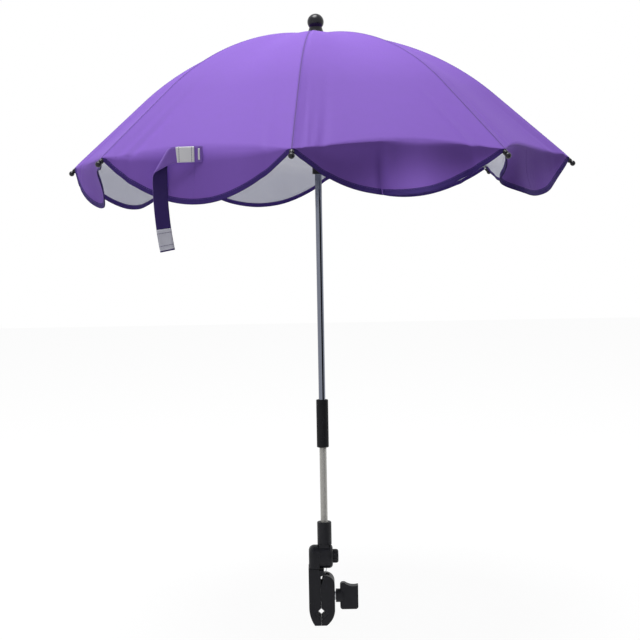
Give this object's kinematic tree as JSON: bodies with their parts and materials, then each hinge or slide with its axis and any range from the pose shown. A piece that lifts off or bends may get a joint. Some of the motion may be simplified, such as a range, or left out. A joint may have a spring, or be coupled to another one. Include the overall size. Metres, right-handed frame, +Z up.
{
  "type": "pram parasol",
  "caption": "Small folding parasol with a scalloped cloth canopy on ribs, a chromed pole, a flexible gooseneck and a tilting tube clamp.",
  "frame": {"origin": "on the axis of the tube that the clamp grips, half way along the jaws", "axes": "+Z up along the pole, +Y along the gripped tube, +X from the clamp body towards the wing knob"},
  "size_m": [0.7521, 0.7522, 0.916],
  "materials": {
    "purple_cloth": "matte",
    "purple_webbing": "matte",
    "pale_hook_tape": "matte",
    "black_plastic": "satin",
    "black_rubber": "matte",
    "grey_rubber": "matte",
    "chrome": "polished",
    "rib_steel": "satin",
    "satin_steel": "satin"
  },
  "bodies": {
    "clamp": {"clamp_body": "black_plastic", "clamp_body_pad": "grey_rubber", "captive_nut": "satin_steel", "jaw_hinge_pin": "satin_steel", "jaw_spring": "satin_steel", "knuckle_base": "black_plastic", "base_pin": "satin_steel", "tilt_bolt": "satin_steel"},
    "jaw": {"clamp_jaw": "black_plastic", "clamp_jaw_pad": "grey_rubber"},
    "washer": {"clamp_washer": "satin_steel"},
    "knob": {"clamp_knob": "black_plastic", "clamp_stud": "satin_steel"},
    "lock": {"tilt_knob": "black_plastic"},
    "socket": {"tilt_socket": "black_plastic", "gooseneck": "satin_steel"},
    "pole": {"joint_sleeve": "black_rubber", "shaft_tube": "chrome", "crown": "black_plastic", "crown_ring": "satin_steel", "finial": "black_plastic"},
    "catch": {"open_catch": "satin_steel"},
    "slider": {"runner": "black_plastic", "runner_ring": "satin_steel"},
    "rib_arm_1": {"rib_1": "rib_steel", "rib_tip_1": "black_plastic", "canopy_1": "purple_cloth"},
    "strut_1": {"stretcher_1": "rib_steel"},
    "rib_arm_2": {"rib_2": "rib_steel", "rib_tip_2": "black_plastic", "canopy_2": "purple_cloth"},
    "strut_2": {"stretcher_2": "rib_steel"},
    "rib_arm_3": {"rib_3": "rib_steel", "rib_tip_3": "black_plastic", "canopy_3": "purple_cloth"},
    "strut_3": {"stretcher_3": "rib_steel"},
    "rib_arm_4": {"rib_4": "rib_steel", "rib_tip_4": "black_plastic", "canopy_4": "purple_cloth"},
    "strut_4": {"stretcher_4": "rib_steel"},
    "rib_arm_5": {"rib_5": "rib_steel", "rib_tip_5": "black_plastic", "canopy_5": "purple_cloth"},
    "strut_5": {"stretcher_5": "rib_steel"},
    "rib_arm_6": {"rib_6": "rib_steel", "rib_tip_6": "black_plastic", "canopy_6": "purple_cloth"},
    "strut_6": {"stretcher_6": "rib_steel"},
    "rib_arm_7": {"rib_7": "rib_steel", "rib_tip_7": "black_plastic", "canopy_7": "purple_cloth"},
    "strut_7": {"stretcher_7": "rib_steel"},
    "rib_arm_8": {"rib_8": "rib_steel", "rib_tip_8": "black_plastic", "canopy_8": "purple_cloth", "tie_strap": "purple_webbing", "strap_patches": "pale_hook_tape"},
    "strut_8": {"stretcher_8": "rib_steel"}
  },
  "joints": [
    {"name": "knob_turn", "type": "hinge", "parent": "washer", "child": "knob", "pos_m": [0, 0, 0.0241], "axis": [1, 0, 0], "range_deg": [0, 2640]},
    {"name": "washer_travel", "type": "slide", "parent": "clamp", "child": "washer", "axis": [1, 0, 0], "range_m": [0, 0.0111]},
    {"name": "jaw_swing", "type": "hinge", "parent": "clamp", "child": "jaw", "pos_m": [0.0069, 0, 0.044], "axis": [0, -1, 0], "range_deg": [0, 20]},
    {"name": "tilt_knob_turn", "type": "hinge", "parent": "clamp", "child": "lock", "pos_m": [0, 0, 0.0852], "axis": [1, 0, 0], "range_deg": [0, 360]},
    {"name": "socket_tilt", "type": "hinge", "parent": "clamp", "child": "socket", "pos_m": [0.00665, 0, 0.0852], "axis": [1, 0, 0], "range_deg": [-90, 90]},
    {"name": "neck_bend", "type": "hinge", "parent": "socket", "child": "pole", "pos_m": [0.00665, 0, 0.1955], "axis": [0, 1, 0], "range_deg": [-60, 60], "deforming": ["gooseneck"]},
    {"name": "catch_press", "type": "slide", "parent": "pole", "child": "catch", "axis": [0, -1, 0], "range_m": [0, 0.0021], "stiffness_N_per_m": 300},
    {"name": "canopy_fold", "type": "slide", "parent": "pole", "child": "slider", "axis": [0, 0, 1], "range_m": [-0.21287, 0], "deforming": ["canopy_1", "canopy_2", "canopy_3", "canopy_4", "canopy_5", "canopy_6", "canopy_7", "canopy_8", "tie_strap", "strap_patches"]},
    {"name": "rib_1_fold", "type": "hinge", "parent": "pole", "child": "rib_arm_1", "pos_m": [0.0058, -0.00996, 0.863], "axis": [0.9963, -0.0854, 0], "range_deg": [0, 57]},
    {"name": "strut_1_swing", "type": "hinge", "parent": "slider", "child": "strut_1", "pos_m": [0.00545, -0.01395, 0.70944], "axis": [-0.9963, 0.0854, 0], "range_deg": [0, 41.89]},
    {"name": "rib_2_fold", "type": "hinge", "parent": "pole", "child": "rib_arm_2", "pos_m": [0.01309, -0.00765, 0.863], "axis": [0.7649, 0.6441, 0], "range_deg": [0, 57]},
    {"name": "strut_2_swing", "type": "hinge", "parent": "slider", "child": "strut_2", "pos_m": [0.01567, -0.01071, 0.70944], "axis": [-0.7649, -0.6441, 0], "range_deg": [0, 41.89]},
    {"name": "rib_3_fold", "type": "hinge", "parent": "pole", "child": "rib_arm_3", "pos_m": [0.01661, -0.00085, 0.863], "axis": [0.0854, 0.9963, 0], "range_deg": [0, 57]},
    {"name": "strut_3_swing", "type": "hinge", "parent": "slider", "child": "strut_3", "pos_m": [0.0206, -0.0012, 0.70944], "axis": [-0.0854, -0.9963, 0], "range_deg": [0, 41.89]},
    {"name": "rib_4_fold", "type": "hinge", "parent": "pole", "child": "rib_arm_4", "pos_m": [0.0143, 0.00644, 0.863], "axis": [-0.6441, 0.7649, 0], "range_deg": [0, 57]},
    {"name": "strut_4_swing", "type": "hinge", "parent": "slider", "child": "strut_4", "pos_m": [0.01736, 0.00902, 0.70944], "axis": [0.6441, -0.7649, 0], "range_deg": [0, 41.89]},
    {"name": "rib_5_fold", "type": "hinge", "parent": "pole", "child": "rib_arm_5", "pos_m": [0.0075, 0.00996, 0.863], "axis": [-0.9963, 0.0854, 0], "range_deg": [0, 57]},
    {"name": "strut_5_swing", "type": "hinge", "parent": "slider", "child": "strut_5", "pos_m": [0.00785, 0.01395, 0.70944], "axis": [0.9963, -0.0854, 0], "range_deg": [0, 41.89]},
    {"name": "rib_6_fold", "type": "hinge", "parent": "pole", "child": "rib_arm_6", "pos_m": [0.00021, 0.00765, 0.863], "axis": [-0.7649, -0.6441, 0], "range_deg": [0, 57]},
    {"name": "strut_6_swing", "type": "hinge", "parent": "slider", "child": "strut_6", "pos_m": [-0.00237, 0.01071, 0.70944], "axis": [0.7649, 0.6441, 0], "range_deg": [0, 41.89]},
    {"name": "rib_7_fold", "type": "hinge", "parent": "pole", "child": "rib_arm_7", "pos_m": [-0.00331, 0.00085, 0.863], "axis": [-0.0854, -0.9963, 0], "range_deg": [0, 57]},
    {"name": "strut_7_swing", "type": "hinge", "parent": "slider", "child": "strut_7", "pos_m": [-0.0073, 0.0012, 0.70944], "axis": [0.0854, 0.9963, 0], "range_deg": [0, 41.89]},
    {"name": "rib_8_fold", "type": "hinge", "parent": "pole", "child": "rib_arm_8", "pos_m": [-0.001, -0.00644, 0.863], "axis": [0.6441, -0.7649, 0], "range_deg": [0, 57]},
    {"name": "strut_8_swing", "type": "hinge", "parent": "slider", "child": "strut_8", "pos_m": [-0.00406, -0.00902, 0.70944], "axis": [-0.6441, 0.7649, 0], "range_deg": [0, 41.89]}
  ],
  "couplings": [
    {"joint": "washer_travel", "follows": "knob_turn", "m_per_rad": 0.00023873},
    {"joint": "jaw_swing", "follows": "knob_turn", "ratio": 0.0075758},
    {"joint": "rib_1_fold", "follows": "canopy_fold", "rad_per_m": -4.6735},
    {"joint": "strut_1_swing", "follows": "canopy_fold", "rad_per_m": -3.4339},
    {"joint": "rib_2_fold", "follows": "canopy_fold", "rad_per_m": -4.6735},
    {"joint": "strut_2_swing", "follows": "canopy_fold", "rad_per_m": -3.4339},
    {"joint": "rib_3_fold", "follows": "canopy_fold", "rad_per_m": -4.6735},
    {"joint": "strut_3_swing", "follows": "canopy_fold", "rad_per_m": -3.4339},
    {"joint": "rib_4_fold", "follows": "canopy_fold", "rad_per_m": -4.6735},
    {"joint": "strut_4_swing", "follows": "canopy_fold", "rad_per_m": -3.4339},
    {"joint": "rib_5_fold", "follows": "canopy_fold", "rad_per_m": -4.6735},
    {"joint": "strut_5_swing", "follows": "canopy_fold", "rad_per_m": -3.4339},
    {"joint": "rib_6_fold", "follows": "canopy_fold", "rad_per_m": -4.6735},
    {"joint": "strut_6_swing", "follows": "canopy_fold", "rad_per_m": -3.4339},
    {"joint": "rib_7_fold", "follows": "canopy_fold", "rad_per_m": -4.6735},
    {"joint": "strut_7_swing", "follows": "canopy_fold", "rad_per_m": -3.4339},
    {"joint": "rib_8_fold", "follows": "canopy_fold", "rad_per_m": -4.6735},
    {"joint": "strut_8_swing", "follows": "canopy_fold", "rad_per_m": -3.4339}
  ]
}
